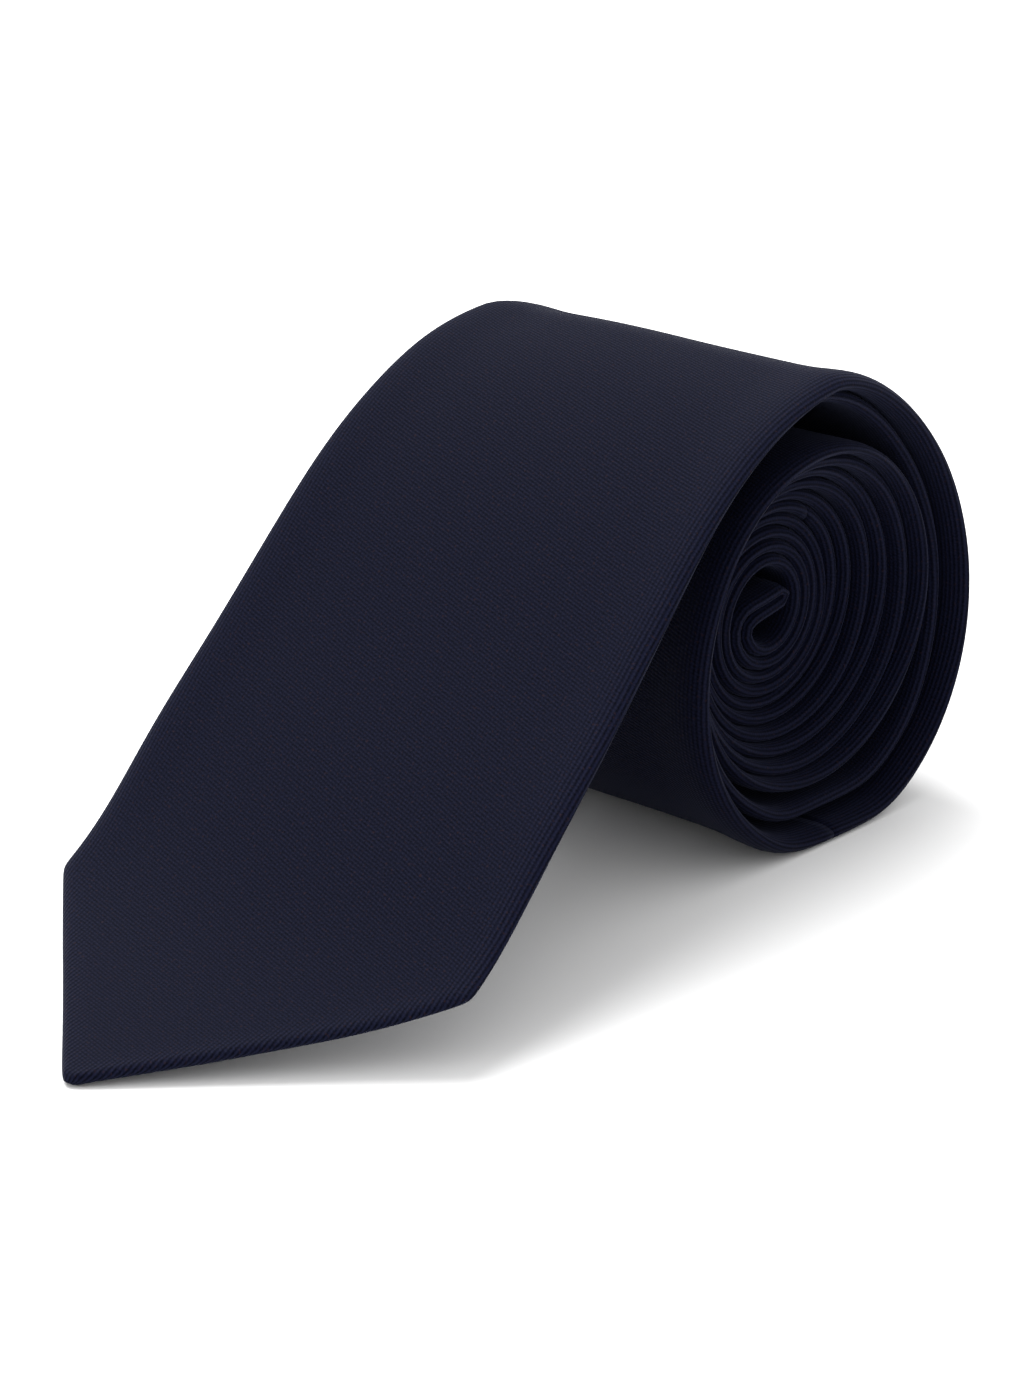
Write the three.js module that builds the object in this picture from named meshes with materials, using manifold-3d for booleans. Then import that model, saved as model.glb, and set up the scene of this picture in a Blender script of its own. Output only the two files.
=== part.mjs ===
// Necktie, folded in two at the neck and rolled up from the fold, with its broad
// end left out of the roll and sloping down in front of it as an apron.
// Millimetres: +X along the roll's axis, apron toward -Y, +Z up, floor at z = 0.
// Everything is placed along one line that runs from the blade's tip, round the
// roll to the fold, and back out between the wraps to the tail's tip. A place on
// the tie is a distance s along that line, a width x and a height n above the cloth.
import * as THREE from "three";
import Module from "manifold-3d";

// ---- driving dimensions -------------------------------------------------
const BLADE_WIDTH = 78.7;         // across the corners of the blade's point
const SHOULDER_SHARE = 0.864;     // part of that width left at the hinge line
const NECK_WIDTH = 33;
const TAIL_WIDTH = 42;
const BLADE_TAPER_END = 690;      // distance from the blade tip to the neck width
const NECK_LENGTH = 330;          // middle panel, centred on the fold, seam to seam
const TAIL_TAPER = 420;           // tail corner back to the neck width
const CLOTH = 0.3;                // thickness of the shell cloth
const PLY_GAP = 0.3;              // free space between plies inside the tie
const WOOL = 0.5;                 // thickness of the interlining
const LAYER_GAP = 0.33;           // free space between wraps of the roll
const EDGE_SOFT = 0.6;            // how far the folded edge rounds in
const SLIT = 1.5;                 // width of the centre-back slit
const APRON_LENGTH = 148;         // hinge line to blade tip, along the cloth
const APRON_STATIONS = 20;
const POINT_CLEAR = 0.08;         // keeps the turned edge of the point off the floor
const TIP_BLUNT = 1.2;            // half width left at the very tip
const TIGHT_RADIUS = 26.2;        // mid radius of the first tight wrap
const CORE_RADIUS = 7.24;         // mid radius where the spiral stops
const CORE_BEND = 3.5;            // bend radius of the turn across the core
const CORE_BEND_ANGLE = 110;      // degrees turned before crossing the core
const CORE_CROSSING = 7;        // straight run across the core
const TURN_STEPS = 24;            // flats per turn of the roll
const LOOSE_SLACK = [5.9, 2.5, 3.4, 5.8, 4.2, 2.4, 0.6, 0, 0];
const APRON_SLOPES = [6, 30, 42, 39, 38, 13, 6];
const APRON_DRIFT = 13.8;          // sideways drift of the apron's point, to +X
const APRON_TWIST = 0.09;         // rise per mm of width at the point, +X side up
const DRIFT_EASE = 0.15;          // share of the apron over which the drift sets in
const SETTLE = 0.65;              // how far the roll's weight flattens its foot
const TAIL_OVERHANG = 31;         // tail tip beyond the hinge line
const TAIL_SLACK = 2.2;           // extra room between blade and tail, loose turn
const TAIL_SHARE = 0.6;           // most of the loose turn's slack the tail may take
const TAIL_DROOP = 2.0;           // tail tip sag below the apron
const TAIL_RECESS = 3;            // how far the tail's +X edge sits back from the blade's
const CORE_SHIFT = 6;             // sideways shift of the roll's core
const WRAP_SHIFT = 5;             // sideways shift of the first tight wrap
const SEAM_GAP = 0.3;             // room between two panels at a piecing seam
const HINGE_GAP = 0.4;            // room between apron and roll at the hinge line
const HEM = 7;                    // turned hem framing the blade tipping
const TAIL_HEM = 5;
const BLADE_V = 90;               // blade tip to the point of the tipping
const TAIL_V = 62;
const KEEPER_TURN = 0.36;         // share of the loose turn where the keeper sits
const KEEPER_SIZE = [44, 11, 0.6];
const LABEL_TURN = 0.5;
const LABEL_SIZE = [46, 20, 0.25];
const CARE_TURN = 0.265;
const CARE_SIZE = [15, 20, 0.25];
const TACK = 0.35;                // height of a bar tack
const TACK_SIZE = [6.5, 1.4];
const TACK_WIDE = 1.2;            // width of the tacks on the keeper and the labels
const TACK_IN = 1.6;              // from the end of the keeper or label to its tack
const TACK_SHARE = 0.8;           // how much of the keeper or label a tack spans
const THREAD = 0.3;               // slip stitch thread
const WALL = 0.65;                // cloth left at a folded edge
const TIP_WALL = 2.2;             // cloth left ahead of the hollow at a tip
const LEAN = 0.35;                // clearance of the interlining from the folded edge
const WOOL_SHORT = 1.2;           // clearance of the interlining ahead of a tip
const LINING_ROOM = 0.35;         // clearance round the lining in its opening
const LINING_SHORT = 6;           // from the opening's apex back to the lining
const SUNK = 0.05;                // how far linings and thread sit inside the back
const BLUNT = 0.8;                // shortest half width cut at a pointed opening

const HALF = CLOTH + PLY_GAP + WOOL / 2;
const PITCH = 2 * HALF + LAYER_GAP;
const DEG = Math.PI / 180;
const TURN = 2 * Math.PI;
const FOLD_STEPS = 6;             // flats round the hairpin at the fold
const SLOPE_SCALES = [0.4, 1.7];  // the apron's slope scale lies between these
const HALVINGS = 40;              // steps of the search for that scale
const halfBlade = BLADE_WIDTH / 2;
const halfShoulder = (BLADE_WIDTH * SHOULDER_SHARE) / 2;
const halfTail = TAIL_WIDTH / 2;
const halfNeck = NECK_WIDTH / 2;

// ---- centre line of the strand -------------------------------------------
const lerp = (a, b, t) => a + (b - a) * t;
const clamp = (v, lo, hi) => Math.min(Math.max(v, lo), hi);
const smooth = (t) => t * t * (3 - 2 * t);

// value of an evenly spaced table at u in [0, 1], eased between entries
function tabled(table, u) {
  const at = clamp(u, 0, 1) * (table.length - 1);
  const i = Math.min(Math.floor(at), table.length - 2);
  const pick = (k) => table[clamp(k, 0, table.length - 1)];
  const f = at - i;
  const a = (pick(i + 1) - pick(i - 1)) / 2;
  const b = (pick(i + 2) - pick(i)) / 2;
  const f2 = f * f;
  const f3 = f2 * f;
  return (2 * f3 - 3 * f2 + 1) * pick(i) + (f3 - 2 * f2 + f) * a
    + (3 * f2 - 2 * f3) * pick(i + 1) + (f3 - f2) * b;
}

// mid radius of the blade strand after `turn` turns inward from the hinge line
function wrapRadius(turn) {
  return TIGHT_RADIUS + 2 * PITCH * (1 - turn) + tabled(LOOSE_SLACK, turn);
}
const spiralTurns = 1 + (TIGHT_RADIUS - CORE_RADIUS) / (2 * PITCH);
const centre = [0, wrapRadius(0.5) + HALF - SETTLE];

// stations of the blade strand from the hinge line inward, [y, z] pairs
function rollPoints() {
  const points = [];
  const steps = Math.round(spiralTurns * TURN_STEPS);
  for (let i = 0; i <= steps; i += 1) {
    const turn = i / TURN_STEPS;
    const r = wrapRadius(turn);
    const a = turn * TURN;
    const z = centre[1] + r * Math.cos(a);
    points.push([centre[0] + r * Math.sin(a), Math.max(z, HALF)]);
  }
  const heading = (steps / TURN_STEPS) * TURN;
  const bends = Math.round(CORE_BEND_ANGLE / (360 / TURN_STEPS));
  const start = points[points.length - 1];
  let last = start;
  for (let i = 1; i <= bends; i += 1) {
    const h = heading + (i - 0.5) * (CORE_BEND_ANGLE / bends) * DEG;
    const step = CORE_BEND * (CORE_BEND_ANGLE / bends) * DEG;
    last = [last[0] + step * Math.cos(h), last[1] - step * Math.sin(h)];
    points.push(last);
  }
  const h = heading + CORE_BEND_ANGLE * DEG;
  points.push([last[0] + CORE_CROSSING * Math.cos(h), last[1] - CORE_CROSSING * Math.sin(h)]);
  return points;
}

// apron stations walked outward from the hinge line for a given slope scale
function apronWalk(scale) {
  const step = APRON_LENGTH / APRON_STATIONS;
  const points = [[centre[0], centre[1] + wrapRadius(0)]];
  for (let i = 0; i < APRON_STATIONS; i += 1) {
    const a = tabled(APRON_SLOPES, (i + 0.5) / APRON_STATIONS) * scale * DEG;
    const [y, z] = points[i];
    points.push([y - step * Math.cos(a), z - step * Math.sin(a)]);
  }
  return points;
}

// the slope scale is found so that the tip just rests on the floor
function apronPoints() {
  let [low, high] = SLOPE_SCALES;
  for (let i = 0; i < HALVINGS; i += 1) {
    const mid = (low + high) / 2;
    const end = apronWalk(mid)[APRON_STATIONS];
    if (end[1] > HALF + POINT_CLEAR) low = mid;
    else high = mid;
  }
  return apronWalk((low + high) / 2).slice(1).reverse();
}

// mitred normals (front face side) of a polyline of [y, z] points
function normalsOf(points) {
  const unit = (a, b) => {
    const d = Math.hypot(b[0] - a[0], b[1] - a[1]);
    return [(b[0] - a[0]) / d, (b[1] - a[1]) / d];
  };
  return points.map((p, i) => {
    const before = i > 0 ? unit(points[i - 1], p) : unit(p, points[i + 1]);
    const after = i < points.length - 1 ? unit(p, points[i + 1]) : before;
    const sum = [before[0] + after[0], before[1] + after[1]];
    const half = Math.hypot(sum[0], sum[1]) / 2;
    return [-sum[1] / (2 * half * half), sum[0] / (2 * half * half)];
  });
}

const apron = apronPoints();
const roll = rollPoints();
const blade = apron.concat(roll);
const bladeNormals = normalsOf(blade);
const hingeIndex = apron.length;

// room between blade strand and tail strand at a blade station
function tailOffset(i) {
  if (i < hingeIndex) {
    const s = (hingeIndex - i) * (APRON_LENGTH / APRON_STATIONS);
    return PITCH + TAIL_DROOP * Math.min(s / TAIL_OVERHANG, 2);
  }
  const turn = (i - hingeIndex) / TURN_STEPS;
  if (turn > 1) return PITCH;
  const room = TAIL_SHARE * Math.max(tabled(LOOSE_SLACK, turn), 0);
  return PITCH + Math.min(TAIL_SLACK * Math.sin(turn * Math.PI), room);
}

// whole tie, blade tip to tail tip: { y, z, ny, nz, s, wrap } stations
function tieStations() {
  const points = blade.slice();
  const last = blade.length - 1;
  const n = bladeNormals[last];
  for (let i = 1; i < FOLD_STEPS; i += 1) {
    const a = (i / FOLD_STEPS) * Math.PI;
    const out = Math.sin(a) * PITCH / 2;
    const across = (1 - Math.cos(a)) * PITCH / 2;
    const [y, z] = blade[last];
    points.push([y - n[0] * across + n[1] * out, z - n[1] * across - n[0] * out]);
  }
  const tailStart = hingeIndex - Math.ceil(TAIL_OVERHANG / (APRON_LENGTH / APRON_STATIONS));
  for (let i = last; i >= tailStart; i -= 1) {
    const d = tailOffset(i);
    points.push([blade[i][0] - bladeNormals[i][0] * d, blade[i][1] - bladeNormals[i][1] * d]);
  }
  const normals = normalsOf(points);
  let s = 0;
  return points.map((p, i) => {
    if (i > 0) s += Math.hypot(p[0] - points[i - 1][0], p[1] - points[i - 1][1]);
    return { y: p[0], z: p[1], ny: normals[i][0], nz: normals[i][1], s };
  });
}

const tie = tieStations();
const hingeAt = tie[hingeIndex].s;
const foldAt = tie[blade.length - 1].s;

// distance along the tail strand's end that matches the wanted overhang
function tailEnd() {
  const mates = Math.ceil(TAIL_OVERHANG / (APRON_LENGTH / APRON_STATIONS));
  return tie[tie.length - 1 - mates].s + TAIL_OVERHANG;
}
const TOTAL = tailEnd();

// station at any distance s; offsets stay on the same flats
function stationAt(s) {
  let i = 1;
  while (i < tie.length - 1 && tie[i].s < s) i += 1;
  const a = tie[i - 1];
  const b = tie[i];
  const t = (s - a.s) / (b.s - a.s);
  return {
    y: lerp(a.y, b.y, t),
    z: lerp(a.z, b.z, t),
    ny: lerp(a.ny, b.ny, t),
    nz: lerp(a.nz, b.nz, t),
    s,
  };
}

// half width of the tail strand, its point left out
const tailSide = (s) => lerp(halfTail, halfNeck, clamp((TOTAL - s - halfTail) / TAIL_TAPER, 0, 1));

// half width of the blade strand, its point left out
function broadSide(s) {
  if (s < APRON_LENGTH) {
    const t = (s - halfBlade) / (APRON_LENGTH - halfBlade);
    return lerp(halfBlade, halfShoulder, clamp(t, 0, 1));
  }
  const t = (s - APRON_LENGTH) / (BLADE_TAPER_END - APRON_LENGTH);
  return lerp(halfShoulder, halfNeck, clamp(t, 0, 1));
}

// half width of the finished tie at distance s from the blade tip
function halfWidth(s) {
  const toTail = TOTAL - s;
  const bladeSide = s < halfBlade ? Math.min(s + TIP_BLUNT, halfBlade) : broadSide(s);
  const narrowSide = toTail < halfTail ? Math.min(toTail + TIP_BLUNT, halfTail) : tailSide(s);
  return s < foldAt ? bladeSide : narrowSide;
}

// lift of the cloth per millimetre to +X, which turns the apron's point
const twistAt = (s) => APRON_TWIST * Math.max(1 - s / hingeAt, 0) ** 2;

// blade distance lying beside distance s of the tail strand
const mateShare = (foldAt - hingeAt + TAIL_OVERHANG) / (TOTAL - foldAt);
const mateOf = (s) => foldAt - (s - foldAt) * mateShare;

// sideways shift: the apron drifts toward its point, the roll toward its core, and
// the tail strand keeps its +X edge just behind the edge of the blade beside it
function shiftAt(s) {
  const st = stationAt(s);
  const r = Math.hypot(st.y - centre[0], st.z - centre[1]);
  const core = lerp(CORE_SHIFT, WRAP_SHIFT, clamp(r / TIGHT_RADIUS, 0, 1));
  const firstTurn = TURN * TIGHT_RADIUS;
  if (s < hingeAt) {
    const u = (hingeAt - s) / APRON_LENGTH;
    return APRON_DRIFT * u * u / (u + DRIFT_EASE);
  }
  if (s <= foldAt) return core * smooth(clamp((s - hingeAt) / firstTurn, 0, 1));
  const edge = halfWidth(mateOf(s)) + shiftAt(mateOf(s));
  const along = clamp((s - foldAt) / (TOTAL - foldAt), 0, 1);
  return edge - tailSide(s) - TAIL_RECESS * smooth(along);
}

// ---- solids -----------------------------------------------------------------
const wasm = await Module();
wasm.setup();

// a loop of [x, n] corners carried along the tie between two distances
function sweep(from, to, loopAt, extra = []) {
  const marks = [from, to].concat(tie.map((t) => t.s), extra);
  const along = marks.filter((s) => s >= from && s <= to).sort((a, b) => a - b);
  const kept = along.filter((s, i) => i === 0 || s - along[i - 1] > 0.02);
  const verts = [];
  let size = 0;
  for (const s of kept) {
    const st = stationAt(s);
    const shift = shiftAt(s);
    const loop = loopAt(s);
    size = loop.length;
    const twist = twistAt(s);
    for (const [x, n] of loop) {
      const lift = n + x * twist;
      verts.push(x + shift, st.y + st.ny * lift, st.z + st.nz * lift);
    }
  }
  const tris = [];
  for (let i = 0; i < kept.length - 1; i += 1) {
    for (let k = 0; k < size; k += 1) {
      const a = i * size + k;
      const b = i * size + (k + 1) % size;
      tris.push(a, b + size, b, a, a + size, b + size);
    }
  }
  const lastRing = (kept.length - 1) * size;
  for (let k = 1; k < size - 1; k += 1) {
    tris.push(0, k, k + 1);
    tris.push(lastRing, lastRing + k + 1, lastRing + k);
  }
  const mesh = new wasm.Mesh({
    numProp: 3,
    vertProperties: new Float32Array(verts),
    triVerts: new Uint32Array(tris),
  });
  return new wasm.Manifold(mesh);
}

// flat band between two heights, half width from a function of s
const band = (from, to, low, high, half, extra) => sweep(from, to, (s) => {
  const w = half(s);
  return [[-w, low], [w, low], [w, high], [-w, high]];
}, extra);

// band whose long edges round over like folded cloth
const softBand = (from, to, extra) => sweep(from, to, (s) => {
  const w = halfWidth(s);
  const e = w - Math.min(EDGE_SOFT, w / 3);
  return [[-e, -HALF], [e, -HALF], [w, 0], [e, HALF], [-e, HALF], [-w, 0]];
}, extra);

const inset = (d) => (s) => halfWidth(s) - d;

function toGeometry(solid) {
  const mesh = solid.getMesh();
  const flat = new Float32Array(mesh.triVerts.length * 3);
  mesh.triVerts.forEach((v, i) => {
    for (let k = 0; k < 3; k += 1) flat[i * 3 + k] = mesh.vertProperties[v * mesh.numProp + k];
  });
  const geometry = new THREE.BufferGeometry();
  geometry.setAttribute("position", new THREE.BufferAttribute(flat, 3));
  geometry.computeVertexNormals();
  return geometry;
}

const object = new THREE.Group();
object.name = "necktie";
function add(name, solid, color) {
  const material = new THREE.MeshStandardMaterial({ color, roughness: 0.8 });
  const mesh = new THREE.Mesh(toGeometry(solid), material);
  mesh.name = name;
  object.add(mesh);
}

const NAVY = 0x20222f;
const NAVY_LINING = 0x191b2b;
const WOOL_WHITE = 0xd8d2c4;
const THREAD_NAVY = 0x10121c;
const LABEL_NAVY = 0x2a2e40;
const LABEL_WHITE = 0xe4e2dc;

const root2 = Math.SQRT2;
const cutLow = -HALF - 1;
const cavityTop = HALF - CLOTH;

// half width of the opening in the back of a pointed end, d from its tip
function mouth(d, width, hem, apex) {
  const corner = width / 2;
  const widest = corner - hem * root2;
  if (d < corner) return Math.max(d - hem * root2, 0);
  return lerp(widest, SLIT / 2, clamp((d - corner) / (apex - corner), 0, 1));
}
const bladeMouth = (s) => mouth(s, BLADE_WIDTH, HEM, BLADE_V);
const tailMouth = (s) => mouth(TOTAL - s, TAIL_WIDTH, TAIL_HEM, TAIL_V);
const bladeMouthMarks = [HEM * root2, halfBlade, BLADE_V];
const tailMouthMarks = [TAIL_HEM * root2, halfTail, TAIL_V].map((d) => TOTAL - d);
const slit = () => SLIT / 2;

// fabric tube of one panel: soft band, hollowed, slit down the back
function shell(from, to, cavityFrom, cavityTo, opening, marks) {
  const hollow = band(cavityFrom, cavityTo, -cavityTop, cavityTop, inset(WALL), marks);
  return softBand(from, to, marks).subtract(hollow).subtract(opening);
}

const past = 0.5;
const endOfApron = hingeAt - HINGE_GAP / 2;
const startOfRoll = hingeAt + HINGE_GAP / 2;
const neckFrom = foldAt - NECK_LENGTH / 2;
const neckTo = foldAt + NECK_LENGTH / 2;

const apronOpening = band(HEM * root2 + BLUNT, endOfApron + past, cutLow, 0,
  (s) => Math.max(bladeMouth(s), SLIT / 2), bladeMouthMarks);
add("blade_apron_shell", shell(0, endOfApron, TIP_WALL, endOfApron + past, apronOpening,
  bladeMouthMarks), NAVY);

const rollOpening = band(startOfRoll - past, neckFrom, cutLow, 0, slit);
add("blade_roll_shell", shell(startOfRoll, neckFrom - SEAM_GAP / 2, startOfRoll - past,
  neckFrom, rollOpening, []), NAVY);

const neckOpening = band(neckFrom - past, neckTo + past, -HALF - LAYER_GAP / 3, 0, slit);
add("neck_shell", shell(neckFrom + SEAM_GAP / 2, neckTo - SEAM_GAP / 2, neckFrom - past,
  neckTo + past, neckOpening, []), NAVY);

const tailOpening = band(neckTo, TOTAL - TAIL_HEM * root2 - BLUNT, cutLow, 0,
  (s) => Math.max(tailMouth(s), SLIT / 2), tailMouthMarks);
add("tail_shell", shell(neckTo + SEAM_GAP / 2, TOTAL, neckTo, TOTAL - TIP_WALL, tailOpening,
  tailMouthMarks), NAVY);

// wool interlining, cut at the hinge line only
const wool = inset(WALL + LEAN);
const woolTip = TIP_WALL + WOOL_SHORT;
add("apron_interlining", band(woolTip, endOfApron, -WOOL / 2, WOOL / 2, wool,
  [halfBlade]), WOOL_WHITE);
add("roll_interlining", band(startOfRoll, TOTAL - woolTip, -WOOL / 2, WOOL / 2, wool,
  [TOTAL - halfTail]), WOOL_WHITE);

// lining panels set in the open backs of both points
const liningLow = -HALF + SUNK;
const liningHigh = -HALF + CLOTH - SUNK;
const lined = (open) => (s) => Math.max(open(s) - LINING_ROOM * root2, SLIT / 4);
add("blade_tipping", band(HEM * root2 + 3 * BLUNT, BLADE_V - LINING_SHORT, liningLow,
  liningHigh, lined(bladeMouth), [halfBlade]), NAVY_LINING);
add("tail_tipping", band(TOTAL - TAIL_V + LINING_SHORT, TOTAL - TAIL_HEM * root2 - 3 * BLUNT,
  liningLow, liningHigh, lined(tailMouth), [TOTAL - halfTail]), NAVY_LINING);

// slip stitch lying in the slit
const threadHalf = () => THREAD / 2;
const threadLow = -HALF + SUNK;
const threadPast = 2;             // how far the thread runs past the apex of the slit
add("apron_slip_stitch", band(BLADE_V - threadPast, endOfApron, threadLow,
  threadLow + THREAD, threadHalf), THREAD_NAVY);
add("roll_slip_stitch", band(startOfRoll, TOTAL - TAIL_V + threadPast, threadLow,
  threadLow + THREAD, threadHalf), THREAD_NAVY);

// small piece lying on the back of the cloth, centred at x and s
function patch(at, [w, l, t], x = 0, lift = PLY_GAP) {
  const top = -HALF - lift;
  return sweep(at - l / 2, at + l / 2, () => [
    [x - w / 2, top - t], [x + w / 2, top - t], [x + w / 2, top], [x - w / 2, top],
  ]);
}
const tackPast = 2;               // how far a bar tack sits beyond the apex
add("blade_bar_tack", patch(BLADE_V + tackPast, [...TACK_SIZE, TACK]), THREAD_NAVY);
add("tail_bar_tack", patch(TOTAL - TAIL_V - tackPast, [...TACK_SIZE, TACK]), THREAD_NAVY);

// distance from the blade tip at a share of the loose turn
const turnAt = (turn) => lerp(hingeAt, tie[hingeIndex + TURN_STEPS].s, turn);
const keeperAt = turnAt(KEEPER_TURN);
const labelAt = turnAt(LABEL_TURN);
const careAt = turnAt(CARE_TURN);
add("keeper_loop", patch(keeperAt, KEEPER_SIZE), NAVY);
add("makers_label", patch(labelAt, LABEL_SIZE), LABEL_NAVY);
add("care_label", patch(careAt, CARE_SIZE), LABEL_WHITE);

// tacks holding the keeper and the labels
function tackPair(name, at, [w, l, t]) {
  const size = [TACK_WIDE, l * TACK_SHARE, TACK];
  const lift = PLY_GAP + t + PLY_GAP;
  const x = w / 2 - TACK_IN;
  add(`${name}_tack_near`, patch(at, size, x, lift), THREAD_NAVY);
  add(`${name}_tack_far`, patch(at, size, -x, lift), THREAD_NAVY);
}
tackPair("keeper", keeperAt, KEEPER_SIZE);
tackPair("label", labelAt, LABEL_SIZE);
const [careWide, careLong, careThick] = CARE_SIZE;
add("care_label_tack", patch(careAt + careLong / 2 - TACK_IN, [careWide * TACK_SHARE,
  TACK_WIDE, TACK], 0, PLY_GAP + careThick + PLY_GAP), THREAD_NAVY);

// origin at the centre of the footprint, floor at z = 0
const box = new THREE.Box3().setFromObject(object);
const middle = box.getCenter(new THREE.Vector3());
object.children.forEach((m) => m.geometry.translate(-middle.x, -middle.y, -box.min.z));

export default object;
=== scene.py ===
# %% [markdown]
# # A rolled necktie
# A necktie is one long flat tube of cloth, cut on the bias and folded round a
# woollen interlining. This one is folded in half at the neck, rolled up from
# the fold, and its broad end is left out so that it slopes down to the table.
# Everything below works in millimetres and is turned to metres only when a
# mesh is made.

# %% Load the frame
import bpy
import numpy as np
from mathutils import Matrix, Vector


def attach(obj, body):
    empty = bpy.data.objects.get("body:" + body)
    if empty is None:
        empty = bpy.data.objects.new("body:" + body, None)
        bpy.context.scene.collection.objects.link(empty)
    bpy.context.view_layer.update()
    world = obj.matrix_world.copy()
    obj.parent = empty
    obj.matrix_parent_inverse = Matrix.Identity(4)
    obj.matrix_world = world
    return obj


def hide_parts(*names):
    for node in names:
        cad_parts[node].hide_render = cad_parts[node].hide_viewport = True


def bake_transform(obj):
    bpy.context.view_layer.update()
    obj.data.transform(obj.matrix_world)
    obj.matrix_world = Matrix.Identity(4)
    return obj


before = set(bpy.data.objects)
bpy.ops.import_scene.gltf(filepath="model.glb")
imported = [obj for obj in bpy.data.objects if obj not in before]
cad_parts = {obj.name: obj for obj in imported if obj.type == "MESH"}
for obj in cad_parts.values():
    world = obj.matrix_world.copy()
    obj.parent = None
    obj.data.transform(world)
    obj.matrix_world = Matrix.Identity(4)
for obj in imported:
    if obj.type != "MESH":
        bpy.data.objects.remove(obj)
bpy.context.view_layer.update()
MM = 0.001

# %% [markdown]
# ## Sizes of the tie
# The same dimensions as the technical model, all in millimetres: a 78.7 mm
# broad end, a 33 mm neck and a 42 mm narrow end. A real tie is flat in the
# middle and fuller along its folded edges, because the bias cloth springs back,
# so the edge has a thickness of its own. ORIGIN moves the line, which is worked
# out round the roll, to the place the technical model has in the shared frame.

# %% Sizes
BLADE, NECK, TAIL = 78.7, 33.0, 42.0
SHOULDER = 0.864 * BLADE           # width where the apron leaves the roll
BLADE_TAPER_END = 690.0
NECK_PANEL = 330.0
TAIL_TAPER = 420.0
HALF = 0.85                        # half the thickness of the tie
PITCH = 2.03                       # from one layer of the roll to the next
CLOTH = 0.3                        # thickness of the shell cloth
APRON = 148.0
TIGHT, CORE = 26.2, 7.24
CORE_BEND, CORE_BEND_ANGLE, CORE_CROSSING = 3.5, 110.0, 7.0
LOOSE_SLACK = np.array([5.9, 2.5, 3.4, 5.8, 4.2, 2.4, 0.6, 0.0, 0.0])
APRON_SLOPES = np.array([6.0, 30.0, 42.0, 39.0, 38.0, 13.0, 6.0])
APRON_DRIFT, DRIFT_EASE, APRON_TWIST = 13.8, 0.15, 0.09
SETTLE = 0.65
TAIL_OVERHANG, TAIL_SLACK, TAIL_SHARE, TAIL_DROOP = 31.0, 2.2, 0.6, 2.0
CORE_SHIFT, WRAP_SHIFT, TAIL_RECESS = 6.0, 5.0, 3.0
POINT_CLEAR = 0.08
ORIGIN = np.array([-6.786, 46.965, 0.0])
HINGE_Y, HINGE_Z = ORIGIN[1], 69.64
EVEN_WALK = 360                    # points in a turn of the spiral
print("pitch of the wraps", PITCH, "mm")

# %% [markdown]
# ## The line the tie follows
# Seen from the end, the whole tie is one line. The apron is walked outward
# from the top of the roll with a table of slopes, scaled until the point
# touches the floor. The roll is a spiral: its radius falls by two thicknesses
# a turn, and the outermost turn has some slack of its own. After the core the
# line makes a hairpin, which is the fold of the neck, and the narrow half
# follows the broad half back out, one thickness further in. Where a turn would
# go below the table, the spiral bends over into a soft flat instead.

# %% Helpers for the line
def tabled(table, u):
    """Cubic through an evenly spaced table: a Hermite blend of neighbours."""
    at = np.clip(u, 0, 1) * (len(table) - 1)
    i = np.minimum(at.astype(int), len(table) - 2)
    f = at - i
    pick = lambda k: table[np.clip(k, 0, len(table) - 1)]
    a, b = (pick(i + 1) - pick(i - 1)) / 2, (pick(i + 2) - pick(i)) / 2
    return ((2 * f**3 - 3 * f**2 + 1) * pick(i) + (f**3 - 2 * f**2 + f) * a
            + (3 * f**2 - 2 * f**3) * pick(i + 1) + (f**3 - f**2) * b)


def wrap_radius(turn):
    """Tight radius growing two pitches a turn outward, plus the slack."""
    return TIGHT + 2 * PITCH * (1 - turn) + tabled(LOOSE_SLACK, turn)


def along(points):
    """Running length of a polyline."""
    step = np.hypot(*np.diff(points, axis=0).T)
    return np.concatenate([[0.0], np.cumsum(step)])


def front_normals(points):
    """Tangent turned a quarter turn, so that it points out of the face side."""
    t = np.gradient(points, axis=0)
    t /= np.hypot(*t.T)[:, None]
    return np.stack([-t[:, 1], t[:, 0]], axis=1)


# %% The apron and the spiral
CENTRE_Z = wrap_radius(np.array([0.5]))[0] + HALF - SETTLE
TOP_Z = CENTRE_Z + wrap_radius(np.array([0.0]))[0]


def apron_line(scale, steps=296):
    """Outward walk from the hinge line: equal steps, each at its own slope."""
    slope = np.radians(tabled(APRON_SLOPES, (np.arange(steps) + 0.5) / steps)) * scale
    step = APRON / steps
    y = -np.concatenate([[0.0], np.cumsum(np.cos(slope))]) * step
    z = TOP_Z - np.concatenate([[0.0], np.cumsum(np.sin(slope))]) * step
    return np.stack([y, z], axis=1)


low, high = 0.4, 1.7
for _ in range(40):
    middle = (low + high) / 2
    if apron_line(middle)[-1, 1] > HALF + POINT_CLEAR:
        low = middle
    else:
        high = middle
apron = apron_line(middle)[::-1]

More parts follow.
